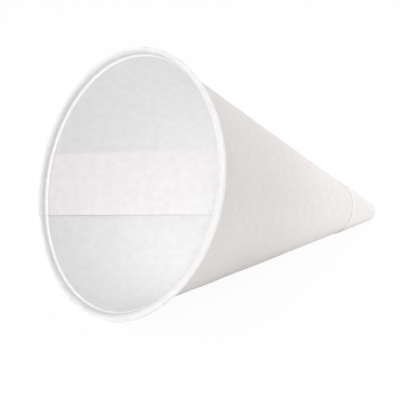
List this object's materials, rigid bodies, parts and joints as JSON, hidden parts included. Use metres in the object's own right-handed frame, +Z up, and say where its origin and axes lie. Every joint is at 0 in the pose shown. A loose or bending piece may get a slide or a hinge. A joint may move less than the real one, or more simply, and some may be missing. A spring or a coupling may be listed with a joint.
{
  "type": "cone paper cup",
  "caption": "White cone paper cup wound from one sheet, with a rolled rim, a lapped seam and a blunt nose, lying on its side.",
  "frame": {"origin": "On the ground under the middle of the lying cup's box.", "axes": "+Z up, +X from the mouth toward the nose, +Y across the cup. The cup lies on the flat spots of its rim and nose, with the mouth toward -X and a little up."},
  "size_m": [0.0978, 0.07, 0.0655],
  "materials": {
    "paper": "matte"
  },
  "bodies": {
    "root": {"cone_cup": "paper"}
  },
  "joints": []
}
